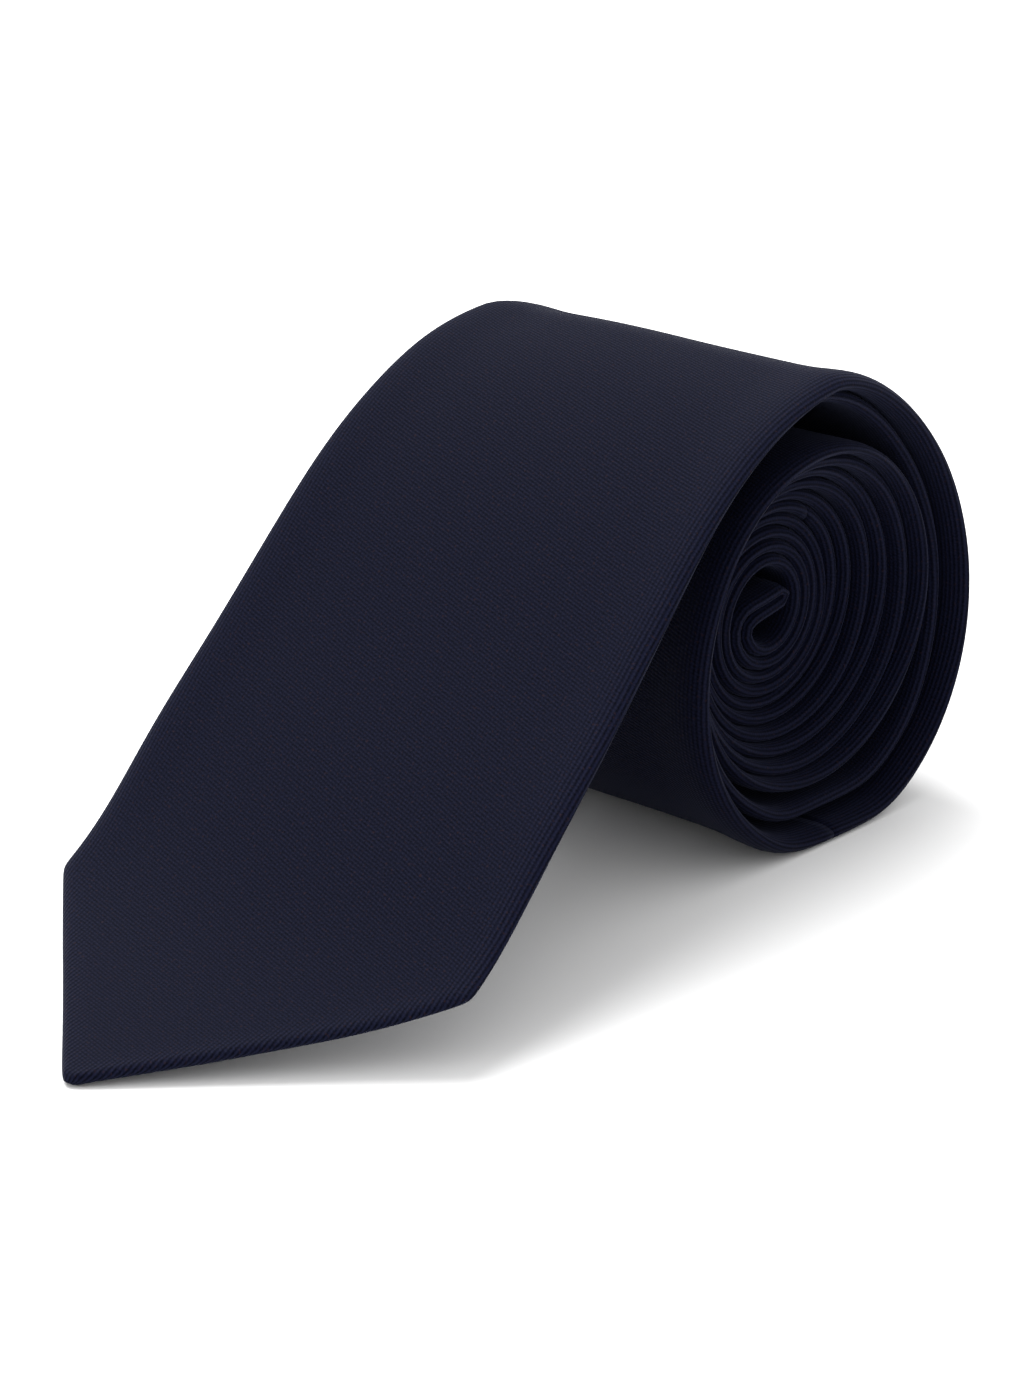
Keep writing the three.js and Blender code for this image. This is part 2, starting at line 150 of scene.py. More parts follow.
turns = 1 + (TIGHT - CORE) / (2 * PITCH)
turn = np.arange(0, round(turns * 24) / 24 + 1e-6, 1 / EVEN_WALK)
angle = turn * 2 * np.pi
radius = wrap_radius(turn)
above = CENTRE_Z + radius * np.cos(angle) - HALF
FLOOR_EASE, FLOOR_PRESS, FLOOR_SPAN = 4.0, 0.55, 3.5
spiral = np.stack([radius * np.sin(angle),
                   HALF + (above + np.sqrt(above**2 + FLOOR_EASE)) / 2
                   - FLOOR_PRESS * np.exp(-(above / FLOOR_SPAN) ** 2)], axis=1)
bend = angle[-1] + np.radians(np.arange(0.5, CORE_BEND_ANGLE, 1.0))
bend_step = CORE_BEND * np.radians(1.0)
bend_line = spiral[-1] + np.cumsum(
    np.stack([np.cos(bend), -np.sin(bend)], axis=1) * bend_step, axis=0)
last = angle[-1] + np.radians(CORE_BEND_ANGLE)
run = np.linspace(0, CORE_CROSSING, 20)[1:, None]
crossing = bend_line[-1] + run * np.array([[np.cos(last), -np.sin(last)]])
blade = np.concatenate([apron[:-1], spiral, bend_line, crossing])
blade_n = front_normals(blade)
blade_s = along(blade)
print("broad half", round(blade_s[-1], 1), "mm")

# %% The fold and the narrow half
u = np.clip((blade_s - APRON) / (blade_s[len(apron) - 1 + EVEN_WALK] - APRON), 0, 1)
room = TAIL_SHARE * np.maximum(tabled(LOOSE_SLACK, u), 0)
slack = np.minimum(TAIL_SLACK * np.sin(u * np.pi), room) * (u < 1)
droop = TAIL_DROOP * np.clip((APRON - blade_s) / TAIL_OVERHANG, 0, 2)
tail = (blade - blade_n * (PITCH + slack + droop)[:, None])[::-1]

hair = np.linspace(0, np.pi, 26)[1:-1, None]
n_end = blade_n[-1]
side = np.array([n_end[1], -n_end[0]])
hairpin = (blade[-1] - n_end * (1 - np.cos(hair)) * PITCH / 2
           + side * np.sin(hair) * PITCH / 2)
whole = np.concatenate([blade, hairpin, tail])
whole_s = along(whole)
FOLD = blade_s[-1] + PITCH * np.pi / 4
mate = len(whole) - 1 - (len(apron) - 1)
TOTAL = whole_s[mate] + TAIL_OVERHANG
BLADE_PANEL = FOLD - NECK_PANEL / 2
print("whole tie", round(TOTAL, 1), "mm, fold at", round(FOLD, 1))

# %% [markdown]
# A line with even steps is easier to use: every piece asks for its place by
# the distance from the broad tip. The line is eased very lightly so that no
# corner is left where the parts of it join.

# %% Even line
STEP = 0.25
even_s = np.arange(0, min(TOTAL + 2, whole_s[-1]), STEP)
even = np.stack([np.interp(even_s, whole_s, whole[:, k]) for k in (0, 1)], axis=1)
soft = even.copy()
for _ in range(24):
    soft[1:-1] = (soft[:-2] + 2 * soft[1:-1] + soft[2:]) / 4
near_fold = np.exp(-((even_s - FOLD) / 5) ** 2)[:, None]
even = soft * (1 - near_fold) + even * near_fold
even_n = front_normals(even)
reach = np.hypot(even[:, 0], even[:, 1] - CENTRE_Z)


def smooth(t):
    """Ease from 0 to 1: three times the square less twice the cube."""
    t = np.clip(t, 0, 1)
    return t * t * (3 - 2 * t)


def broad_side(s):
    """Half width of the broad half: two straight tapers that meet at the hinge line."""
    return np.interp(s, [BLADE / 2, APRON, BLADE_TAPER_END],
                     [BLADE / 2, SHOULDER / 2, NECK / 2])


def narrow_side(s):
    """Half width of the narrow half: one straight taper up from its point."""
    return TAIL / 2 + (NECK - TAIL) / 2 * np.clip((TOTAL - s - TAIL / 2) / TAIL_TAPER, 0, 1)


core_shift = CORE_SHIFT + (WRAP_SHIFT - CORE_SHIFT) * np.clip(reach / TIGHT, 0, 1)
into_roll = smooth((even_s - APRON) / (2 * np.pi * TIGHT))
down = np.maximum(1 - even_s / APRON, 0)
even_shift = core_shift * into_roll + APRON_DRIFT * down**2 / (down + DRIFT_EASE)
mate_s = FOLD - (even_s - FOLD) * (FOLD - APRON + TAIL_OVERHANG) / (TOTAL - FOLD)
behind = TAIL_RECESS * smooth((even_s - FOLD) / (TOTAL - FOLD))
tail_shift = (broad_side(mate_s) + np.interp(mate_s, even_s, even_shift)
              - narrow_side(even_s) - behind)
even_shift = np.where(even_s < FOLD, even_shift, tail_shift)


FAR_SIDE = 36.0                            # the sag grows from the middle to here
CREST_SAG, CREST_SPAN = 1.3, 32.0
CORNER_SAG, CORNER_SPREAD, CORNER_AT, CORNER_SPAN = 2.2, 1.5, 42.0, 24.0
TABLE_EASE, TABLE_SINK = 0.3, 0.1


def place(x, n, s):
    """Point at sideways x, height n off the line, distance s along the tie.

    The apron's point is turned a little. The far side sags at the crest and at
    the corner of the point, where it also spreads. What lies on the table is
    pressed flat on it.
    """
    far = np.clip(-x / FAR_SIDE, 0, 1.1) ** 2
    crest = np.exp(-((s - APRON) / CREST_SPAN) ** 2)
    corner = np.exp(-((s - CORNER_AT) / CORNER_SPAN) ** 2)
    sag = far * (CREST_SAG * crest + CORNER_SAG * corner)
    x = x - CORNER_SPREAD * far * corner
    n = n + x * APRON_TWIST * np.maximum(1 - s / APRON, 0) ** 2 - sag
    y = np.interp(s, even_s, even[:, 0]) + np.interp(s, even_s, even_n[:, 0]) * n
    z = np.interp(s, even_s, even[:, 1]) + np.interp(s, even_s, even_n[:, 1]) * n
    z = (z + np.sqrt(z**2 + TABLE_EASE)) / 2 - TABLE_SINK
    return np.stack([x + np.interp(s, even_s, even_shift), y, z], axis=-1) + ORIGIN


# %% Width and thickness along the tie
def pointed(d, side_width, round_tip, round_corner=0.8):
    """Half width d from a tip: the softened lesser of a 45 degree line and the side."""
    d = np.maximum(d, 0.0)
    slope = np.sqrt(d * d + 2 * round_tip * d)
    gap = slope - side_width
    return (slope + side_width - np.sqrt(gap * gap + round_corner**2)) / 2


def half_width(s):
    """Straight tapers to the neck, with a rounded 90 degree point at each end."""
    return np.where(s < FOLD, pointed(s, broad_side(s), 1.0),
                    pointed(TOTAL - s, narrow_side(s), 0.8))


def fullness(s):
    """Half thickness at the folded edge: pressed at the point, full when free."""
    free = smooth((s - 25) / 50) * (1 - smooth((s - APRON - 150) / 60))
    return 0.9 + 0.08 * smooth((s - 25) / 50) + 0.5 * free


def edge_reach(s):
    """How far in from its edge the tie rounds over: softest on the free blade."""
    free = smooth((s - 8) / 45) * (1 - smooth((s - APRON - 120) / 260))
    return 1.6 + 1.6 * free


def waver(s, seed, size, length):
    """A few sine waves of unlike lengths, for the small unevenness of cloth."""
    rng = np.random.default_rng(seed)
    total = 0.0
    for k in range(4):
        total = total + np.sin(2 * np.pi * s / (length * (0.6 + 0.5 * k))
                               + rng.uniform(0, 6.28)) / (1 + k)
    return size * total / 2

# %% [markdown]
# ## A folded panel of cloth
# Each panel of the shell is a flat piece of cloth folded round like the letter
# C: the face in front, a full soft fold at each side, and two back parts that
# meet at the centre. The outline of that C is worked out once for every
# distance along the tie, as whole arrays, and the same outline a cloth's
# thickness further in closes the mesh, so the panel is a real sheet with a
# right and a wrong side. The distance round the C is kept as the U of a UV map
# and the distance along the tie as V, both in millimetres, so that the weave
# runs over the folds without a break.

# %% Outline of the folded cloth
FRONT, EDGE, BACK = 23, 21, 9      # points on half the face, a fold, a back part
REAR_FULL, REAR_SHARE = 0.97, 0.4  # back fullness, and how much of the fold's it takes


def folded_outline(w, h_mid, h_edge, open_half, reach):
    """From the left opening round the face to the right opening.

    The face is a flat line that swells by a bell curve to the edge thickness,
    the edge is half an ellipse, and the back mirrors the face. Returns x, n
    and the signed running length c, each with one column per outline point.
    """
    w, h_mid, h_edge, open_half, reach = [
        np.asarray(a, float)[:, None] for a in (w, h_mid, h_edge, open_half, reach)]
    a = np.minimum(reach, 0.45 * w)
    flat = w - a
    h_rear = REAR_FULL + (h_edge - REAR_FULL) * REAR_SHARE
    h_edge = np.minimum(h_edge, 0.6 * w + 0.02)
    h_mid = np.minimum(h_mid, h_edge)
    h_rear = np.minimum(h_rear, h_edge)
    swell = lambda x, h: h_mid + (h - h_mid) * np.exp(-((flat - np.abs(x)) / 5.0) ** 2)
    face = np.linspace(0, 1, FRONT)[None]
    turn_a = np.linspace(0, np.pi, EDGE)[None]
    rear = np.linspace(0, 1, BACK)[None]
    open_half = np.minimum(open_half, flat)
    x_face, n_face = flat * face, swell(flat * face, h_edge)
    side = np.where(np.cos(turn_a) > 0, h_edge, h_rear)
    x_edge, n_edge = flat + a * np.sin(turn_a), side * np.cos(turn_a)
    x_rear = flat + (open_half - flat) * rear
    n_rear = -swell(x_rear, h_rear)
    x = np.concatenate([x_face, x_edge[:, 1:], x_rear[:, 1:]], axis=1)
    n = np.concatenate([n_face, n_edge[:, 1:], n_rear[:, 1:]], axis=1)
    c = np.concatenate([np.zeros_like(x[:, :1]),
                        np.cumsum(np.hypot(np.diff(x, axis=1), np.diff(n, axis=1)), axis=1)],
                       axis=1)
    both = lambda v, sign: np.concatenate([sign * v[:, :0:-1], v], axis=1)
    return both(x, -1), both(n, 1), both(c, -1)


# %% Mesh from rings
def make_mesh(name, points, faces, uv=None, fold=None, flat_faces=0):
    """One object at the origin from points in millimetres and quads.

    The last flat_faces quads are cut ends; they are shaded flat, so that the
    cloth beside them keeps its own smooth shading.
    """
    mesh = bpy.data.meshes.new(name)
    faces = np.asarray(faces, np.int32)
    mesh.vertices.add(len(points))
    mesh.vertices.foreach_set("co", (np.asarray(points, np.float32) * MM).ravel())
    mesh.loops.add(faces.size)
    mesh.loops.foreach_set("vertex_index", faces.ravel())
    mesh.polygons.add(len(faces))
    mesh.polygons.foreach_set("loop_start", np.arange(0, faces.size, faces.shape[1]))
    mesh.polygons.foreach_set("use_smooth", np.arange(len(faces)) < len(faces) - flat_faces)
    mesh.update(calc_edges=True)
    if uv is not None:
        layer = mesh.uv_layers.new(name="cloth")
        layer.data.foreach_set("uv", np.asarray(uv, np.float32)[faces.ravel()].ravel())
    if fold is not None:
        mark = mesh.attributes.new("fold", "FLOAT", "POINT")
        mark.data.foreach_set("value", np.asarray(fold, np.float32))
    mesh.validate()
    obj = bpy.data.objects.new(name, mesh)
    bpy.context.scene.collection.objects.link(obj)
    return obj


def ring_faces(rows, size):
    """Quads between neighbouring rings; every ring is a closed loop."""
    i = np.arange(rows - 1)[:, None] * size
    k = np.arange(size)[None]
    k2 = (k + 1) % size
    return np.stack([i + k, i + k2, i + size + k2, i + size + k], axis=-1).reshape(-1, 4)


PINCH_AT, PINCH_SPAN = 11.0, 4.5   # where the core is creased, from the fold
CREASE_HIGH, CREASE_LONG = 0.16, 1.5
SLANT_SPAN = 40.0                  # length over which rows lean to a slanting seam


def panel_rows(start, end, spacing=1.6, fine=0.5, tip_length=50):
    """Distances of the rings: even, and closer together beside a point of the tie."""
    s = np.linspace(start, end, int((end - start) / spacing) + 1)
    if min(start, TOTAL - end) > 1:
        return s
    near_tip = np.arange(0, tip_length, fine)
    ends = start + near_tip if start < 1 else end - near_tip
    return np.unique(np.concatenate([s[np.abs(s - ends[0]) > tip_length], ends]))


def folded_panel(name, start, end, open_half, seam_start, seam_end, seed):
    """C-shaped sheet from start to end; a seam slant of 1 cuts it at 45 degrees."""
    s_mid = panel_rows(start, end)
    rows = len(s_mid)
    t = (s_mid - start) / (end - start)
    w = half_width(s_mid) + waver(s_mid, seed, 0.12, 60)
    full = fullness(s_mid)
    gape = open_half(s_mid)
    round_in = edge_reach(s_mid)
    x, n, c = folded_outline(w, np.full(rows, HALF), full, gape, round_in)
    xi, ni, _ = folded_outline(np.maximum(w - CLOTH, 0.05), np.full(rows, HALF - CLOTH),
                               np.maximum(full - CLOTH, 0.2), gape, round_in - CLOTH / 2)
    slant = lambda cc: (s_mid[:, None] + cc * (seam_start * (1 - t) + seam_end * t)[:, None]
                        * (np.exp(-((s_mid - start) / SLANT_SPAN) ** 2) * (seam_start > 0)
                           + np.exp(-((end - s_mid) / SLANT_SPAN) ** 2)
                           * (seam_end > 0))[:, None])
    s = slant(c)
    ripple = waver(s + 0.7 * x, seed + 10, 0.10, 47) * smooth((s - 4) / 20)
    pinch = np.exp(-((np.abs(s - FOLD) - PINCH_AT) / PINCH_SPAN) ** 2)
    ripple = ripple + CREASE_HIGH * pinch * np.sin(2 * np.pi * s / CREASE_LONG)
    outer = place(x, n + ripple, s)
    inner = place(xi, ni + ripple, s)
    size = 2 * x.shape[1]
    rings = np.concatenate([outer, inner[:, ::-1]], axis=1).reshape(-1, 3)
    uv = np.stack([np.concatenate([c, c[:, ::-1]], axis=1),
                   np.concatenate([s, s[:, ::-1]], axis=1)], axis=-1).reshape(-1, 2)
    faces = ring_faces(rows, size)[:, ::-1]
    k = np.arange(x.shape[1] - 1)
    cap = np.stack([k, k + 1, size - 2 - k, size - 1 - k], axis=1)
    far_cap = (cap + (rows - 1) * size)[:, ::-1]
    # Mask of the folded edges: it changes the weave there and also carries painted shade
    from_edge = w[:, None] - np.abs(x)
    to_edge = np.where(n > 0, np.clip(1 - from_edge / 8, 0, 1) ** 1.5,
                       np.clip(1 - from_edge / 16, 0, 1) ** 0.5)
    fold = np.concatenate([to_edge, to_edge[:, ::-1]], axis=1).ravel()
    obj = make_mesh(name, rings, np.concatenate([faces, cap, far_cap]), uv, fold,
                    2 * len(cap))
    flat_width = 2 * c[:, -1]
    area = np.trapz(flat_width, s_mid)
    print(name, rows, "rings, flat", round(flat_width.max(), 1), "x", round(end - start, 1),
          "mm, area", round(area / 100, 1), "cm2")
    return obj, (flat_width.max() * MM, (end - start) * MM), area * MM * MM


# %% [markdown]
# ## Opening the back
# Near each point the two back parts part in an upside-down V and show the
# lining, framed by a narrow turned hem. Elsewhere they meet along the centre,
# where the slip stitch runs.

# %% Mouth of the back
SLIT = 1.0
HEM, TAIL_HEM = 7.0, 5.0
BLADE_V, TAIL_V = 90.0, 62.0


def mouth(d, width, hem, apex):
    """Half opening of the back, d from the point: hem line, then the V."""
    corner = width / 2
    widest = corner - hem * np.sqrt(2)
    v_part = widest + (SLIT / 2 - widest) * np.clip((d - corner) / (apex - corner), 0, 1)
    return np.where(d < corner, np.maximum(d - hem * np.sqrt(2), 0.02), v_part)


blade_mouth = lambda s: mouth(s, BLADE, HEM, BLADE_V)
tail_mouth = lambda s: mouth(TOTAL - s, TAIL, TAIL_HEM, TAIL_V)
closed_back = lambda s: np.full_like(s, SLIT / 2)

# %% The four lengths of shell cloth
SPLIT = 252.0                      # where the bending length of the blade ends
SEAM_GAP, TIP_GAP = 0.03, 0.02
CLOTH_SEED = 1
NECK_END = BLADE_PANEL + NECK_PANEL
sheets, parts = {}, {}
for name, start, end, mouth_of, cut_start, cut_end in [
        ("blade_apron_cloth", TIP_GAP, SPLIT, blade_mouth, 0, 0),
        ("blade_roll_cloth", SPLIT, BLADE_PANEL - SEAM_GAP, closed_back, 0, 1),
        ("neck_cloth", BLADE_PANEL + SEAM_GAP, NECK_END - SEAM_GAP, closed_back, 1, 1),
        ("tail_cloth", NECK_END + SEAM_GAP, TOTAL - TIP_GAP, tail_mouth, 1, 0)]:
    parts[name], *sheets[name] = folded_panel(name, start, end, mouth_of, cut_start,
                                              cut_end, CLOTH_SEED)

# %% [markdown]
# ## What lies inside and behind
# A brushed wool interlining fills the tube from point to point and gives the
# tie its body. It is a flat strip, so its outline is a thin rounded band. The
# lining that shows in each open back is a smooth cloth let in behind the hem.

# %% Flat strips
def flat_strip(name, start, end, half_of, mid, thick, spacing=2.5, columns=12, seed=5):
    """Thin band: top and bottom rows at mid plus and minus half the thickness."""
    rows = int((end - start) / spacing) + 2
    s = np.linspace(start, end, rows)
    w = np.maximum(half_of(s), 0.1)[:, None]
    u = np.linspace(-1, 1, columns)[None]
    x = np.concatenate([w * u, w * u[:, ::-1]], axis=1)
    edge = np.sqrt(np.maximum(1 - u**8, 0.04))
    n = np.concatenate([mid - thick / 2 * edge, mid + thick / 2 * edge[:, ::-1]], axis=1)
    n = n + waver(s[:, None] + x, seed, 0.04, 30)
    s_all = np.broadcast_to(s[:, None], x.shape)
    points = place(x, n, s_all).reshape(-1, 3)
    uv = np.stack([x, s_all], axis=-1).reshape(-1, 2)
    size = 2 * columns
    k = np.arange(columns - 1)
    cap = np.stack([k, size - 1 - k, size - 2 - k, k + 1], axis=1)
    far_cap = (cap + (rows - 1) * size)[:, ::-1]
    faces = np.concatenate([ring_faces(rows, size), cap, far_cap])
    obj = make_mesh(name, points, faces, uv)
    area = np.trapz(2 * w[:, 0], s)
    print(name, rows, "rings,", round(end - start, 1), "mm long")
    return obj, (2 * w.max() * MM, (end - start) * MM), area * MM * MM


WOOL_IN, WOOL_SHORT, WOOL_THICK = 1.3, 4.0, 0.42
LINING_ROOM, LINING_SHORT, LINING_THICK, LINING_MID = 0.5, 4.0, 0.22, -0.66
HEM_REACH = np.sqrt(2)             # a hem on a 45 degree edge, measured along the tie
HEM_CLEAR = 0.8
wool_half = lambda s: half_width(s) - WOOL_IN
blade_lining_half = lambda s: np.maximum(blade_mouth(s) - LINING_ROOM, 0.25)
tail_lining_half = lambda s: np.maximum(tail_mouth(s) - LINING_ROOM, 0.25)
for name, start, end, half_of, mid, thick in [
        ("apron_wool", WOOL_SHORT, SPLIT, wool_half, 0.0, WOOL_THICK),
        ("roll_wool", SPLIT, TOTAL - WOOL_SHORT, wool_half, 0.0, WOOL_THICK),
        ("blade_lining", HEM * HEM_REACH + HEM_CLEAR, BLADE_V - LINING_SHORT,
         blade_lining_half, LINING_MID, LINING_THICK),
        ("tail_lining", TOTAL - TAIL_V + LINING_SHORT,
         TOTAL - TAIL_HEM * HEM_REACH - HEM_CLEAR,
         tail_lining_half, LINING_MID, LINING_THICK)]:
    parts[name], *sheets[name] = flat_strip(name, start, end, half_of, mid, thick)

# %% [markdown]
# ## Slip stitch and bar tacks
# One long thread draws the two back edges together. It steps from side to side
# of the slit every few millimetres and keeps a little slack so that the tie can
# stretch. Each end is held by a bar tack, a bundle of threads wrapped across
# the slit. Both are thin tubes carried along a path.

# %% Thread tubes
def tube_on_tie(x, n, s, radius, sides=5):
    """Tube of even radius: a circle set across the running direction."""
    centre = place(x, n, s)
    ahead = np.gradient(centre, axis=0)
    ahead /= np.linalg.norm(ahead, axis=1)[:, None]
    flat_side = np.cross(ahead, [1.0, 0.0, 0.02])
    flat_side /= np.linalg.norm(flat_side, axis=1)[:, None]
    other = np.cross(ahead, flat_side)
    a = np.linspace(0, 2 * np.pi, sides, endpoint=False)
    ring = (centre[:, None] + radius * (np.cos(a)[None, :, None] * flat_side[:, None]
                                        + np.sin(a)[None, :, None] * other[:, None]))
    tips = np.stack([centre[0], centre[-1]])
    points = np.concatenate([ring.reshape(-1, 3), tips])
    rows = len(centre)
    faces = ring_faces(rows, sides)
    k = np.arange(sides)
    tip = np.full(sides, rows * sides)
    top = (rows - 1) * sides
    fan_a = np.stack([tip, (k + 1) % sides, k], axis=1)
    fan_b = np.stack([tip + 1, top + k, top + (k + 1) % sides], axis=1)
    return points, faces, fan_a, fan_b


def thread_object(name, tubes):
    """Several tubes joined in one mesh, wound so that faces point outward."""
    points, polygons, base = [], [], 0
    for pts, quads, fan_a, fan_b in tubes:
        points.append(pts * MM)
        for block in (quads, fan_a, fan_b):
            polygons += (block + base).tolist()
        base += len(pts)
    mesh = bpy.data.meshes.new(name)
    mesh.from_pydata(np.concatenate(points).tolist(), [], polygons)
    mesh.polygons.foreach_set("use_smooth", [True] * len(polygons))
    mesh.update()
    obj = bpy.data.objects.new(name, mesh)
    bpy.context.scene.collection.objects.link(obj)
    print(name, len(polygons), "faces")
    return obj


STITCH = 7.0                       # length of one step of the slip stitch and back
THREAD = 0.14                      # radius of the thread


def slip_stitch(name, start, end):
    """Path of a squared-off sine across the slit, rising a little at each turn."""
    s = np.arange(start, end, 0.7)
    beat = 2 * np.pi * s / STITCH
    x = 0.75 * np.tanh(2.2 * np.sin(beat))
    n = -HALF + 0.12 - 0.10 * np.cos(2 * beat)
    return thread_object(name, [tube_on_tie(x, n, s, THREAD)])


parts["apron_slip_stitch_thread"] = slip_stitch("apron_slip_stitch_thread", BLADE_V - 2, SPLIT)
parts["roll_slip_stitch_thread"] = slip_stitch("roll_slip_stitch_thread", SPLIT,
                                               TOTAL - TAIL_V + 1.5)


def bar_tack(name, at, width=6.5, wraps=7):
    """Threads side by side, each arching over the cloth and diving at its ends."""
    u = np.linspace(-1, 1, 15)
    x = u * width / 2
    n = -HALF - 0.42 * (1 - np.abs(u) ** 6) + 0.1
    tubes = []
    for k in range(wraps):
        s = np.full(len(u), at + (k - (wraps - 1) / 2) * 0.2)
        tubes.append(tube_on_tie(x, n, s, THREAD * 0.9))
    return thread_object(name, tubes)


parts["blade_tack"] = bar_tack("blade_tack", BLADE_V + 2)
parts["tail_tack"] = bar_tack("tail_tack", TOTAL - TAIL_V - 2)

# %% [markdown]
# ## Keeper loop and labels
# On the back of the broad half sits a short strap of the same cloth, the
# keeper, which holds the narrow end when the tie is worn. Next to it are a
# woven label and a small tape with the washing advice, both left blank here.
# Each is a small slab with softly rounded edges that follows the curve of the
# roll, and small tacks hold the ends.

# %% Small slabs on the back
def slab(name, at, width, length, thick, x_mid=0.0, lift=0.12, columns=30, rows=15):
    """Two grids meeting at the edge; the height falls off as a super-ellipse."""
    u = np.linspace(-1, 1, columns)[None]
    v = np.linspace(-1, 1, rows)[:, None]
    dome = np.sqrt(np.maximum((1 - np.abs(u) ** 14) * (1 - np.abs(v) ** 10), 0))
    x = np.broadcast_to(x_mid + u * width / 2, dome.shape)
    s = np.broadcast_to(at + v * length / 2, dome.shape)
    mid = -HALF - lift - thick / 2
    grid = np.arange(dome.size).reshape(dome.shape)
    rim = np.zeros(dome.shape, bool)
    rim[0], rim[-1], rim[:, 0], rim[:, -1] = True, True, True, True
    low_id = np.where(rim, grid, grid + dome.size)
    points = np.concatenate([place(x, mid + dome * thick / 2, s).reshape(-1, 3),
                             place(x, mid - dome * thick / 2, s).reshape(-1, 3)])
    uv = np.concatenate([np.stack([x, s], axis=-1).reshape(-1, 2)] * 2)
    quad = lambda g: np.stack([g[:-1, :-1], g[:-1, 1:], g[1:, 1:], g[1:, :-1]],
                              axis=-1).reshape(-1, 4)
    faces = np.concatenate([quad(grid)[:, ::-1], quad(low_id)])
    used = np.unique(faces)
    renumber = np.zeros(len(points), int)
    renumber[used] = np.arange(len(used))
    print(name, len(faces), "faces")
    return make_mesh(name, points[used], renumber[faces], uv[used])


loose_turn_end = np.interp(1.0, turn, along(blade)[len(apron) - 1:len(apron) - 1 + len(turn)])
turn_at = lambda share: APRON + (loose_turn_end - APRON) * share
KEEPER_AT, LABEL_AT, CARE_AT = turn_at(0.36), turn_at(0.5), turn_at(0.265)
parts["keeper"] = slab("keeper", KEEPER_AT, 44, 11, 0.8)
parts["blank_label"] = slab("blank_label", LABEL_AT, 46, 20, 0.3)
parts["care_tape"] = slab("care_tape", CARE_AT, 15, 20, 0.28)
for name, at, x_mid, wide, long, lift in [
        ("keeper_near_stitches", KEEPER_AT, 20.4, 0.8, 8.6, 0.85),
        ("keeper_far_stitches", KEEPER_AT, -20.4, 0.8, 8.6, 0.85),
        ("label_near_stitches", LABEL_AT, 21.4, 0.7, 16, 0.38),
        ("label_far_stitches", LABEL_AT, -21.4, 0.7, 16, 0.38),
        ("care_stitches", CARE_AT + 8.6, 0.0, 12, 0.7, 0.38)]:
    parts[name] = slab(name, at, wide, long, 0.22, x_mid, lift, columns=9, rows=9)

# %% [markdown]
# ## Shader maths
# Weave patterns are easier to read as formulas than as dozens of nodes. The
# small class below wraps one socket, so that + - * / and a few named functions
# add the Math nodes, and one method makes any other node.

# %% Socket maths
class Value:
    """A number that varies over a surface; arithmetic on it adds Math nodes."""

    def __init__(self, tree, socket):
        self.tree, self.socket = tree, socket

    def math(self, operation, *others):
        made = self.tree.nodes.new("ShaderNodeMath")
        made.operation = operation
        for slot, item in zip(made.inputs, (self, *others)):
            if isinstance(item, Value):
                self.tree.links.new(item.socket, slot)
            else:
                slot.default_value = item
        return Value(self.tree, made.outputs[0])

    def flipped(self, operation, other):
        made = self.math(operation, 0.0)
        node = made.socket.node
        self.tree.links.remove(node.inputs[0].links[0])
        node.inputs[0].default_value = other
        self.tree.links.new(self.socket, node.inputs[1])
        return made

    __add__ = __radd__ = lambda self, other: self.math("ADD", other)
    __mul__ = __rmul__ = lambda self, other: self.math("MULTIPLY", other)
    __sub__ = lambda self, other: self.math("SUBTRACT", other)
    __rsub__ = lambda self, other: self.flipped("SUBTRACT", other)
    __truediv__ = lambda self, other: self.math("DIVIDE", other)

    def wave(self):
        """Sine of whole turns, brought to the range 0 to 1."""
        return (self * (2 * np.pi)).math("SINE") * 0.5 + 0.5

    def clip(self, low=0.0, high=1.0):
        return self.math("MAXIMUM", low).math("MINIMUM", high)


class Finish:
    """A material with its shader; node() makes any node from type and values."""

    def __init__(self, name, **fixed):
        self.material = bpy.data.materials.new(name)
        self.material.use_nodes = True
        self.tree = self.material.node_tree
        self.shader = self.tree.nodes["Principled BSDF"]
        for socket, value in fixed.items():
            self.shader.inputs[socket.replace("_", " ")].default_value = value

    def node(self, kind, settings=None, out=0, **values):
        made = self.tree.nodes.new(kind)
        for key, value in (settings or {}).items():
            setattr(made, key, value)
        for key, value in values.items():
            slot = made.inputs[int(key[1:]) if key[0] == "i" and key[1:].isdigit()
                               else key.replace("_", " ")]
            self.plug(value, slot)
        return Value(self.tree, made.outputs[out])

    def plug(self, value, slot):
        if isinstance(value, Value):
            self.tree.links.new(value.socket, slot)
        else:
            slot.default_value = value

    def uv(self):
        """Cloth coordinates in millimetres: across the tie and along it."""
        made = self.node("ShaderNodeUVMap", {"uv_map": "cloth"})
        split = self.node("ShaderNodeSeparateXYZ", i0=made)
        return made, split, Value(self.tree, split.socket.node.outputs[1])

    def mix(self, factor, a, b):
        """Colour a where the factor is 0, colour b where it is 1."""
        made = self.tree.nodes.new("ShaderNodeMix")
        made.data_type = "RGBA"
        for slot, value in ((0, factor), (6, a), (7, b)):
            self.plug(value, made.inputs[slot])
        return Value(self.tree, made.outputs[2])

    def noise(self, vector, scale, detail=2.0):
        return self.node("ShaderNodeTexNoise", Vector=vector, Scale=scale, Detail=detail)

    def bump(self, height, distance, strength=1.0):
        made = self.node("ShaderNodeBump", Height=height, Distance=distance,
                         Strength=strength)
        self.plug(made, self.shader.inputs["Normal"])

# %% [markdown]
# ## Navy twill
# A steep twill cut on the bias: the diagonal ridges, half a millimetre apart,
# run about 17 degrees off the width of the tie, and each ridge is broken into
# short floats whose rows run along the tie. Both come from sines of the cloth
# coordinates. A stretched noise makes some yarns lighter, and a finer one
# scatters a few brown flecks. The shader has a little sheen, as fine fibres do.

# %% Twill material
RIDGE, ROW, RIDGE_ANGLE = 0.52, 0.72, np.radians(17.0)


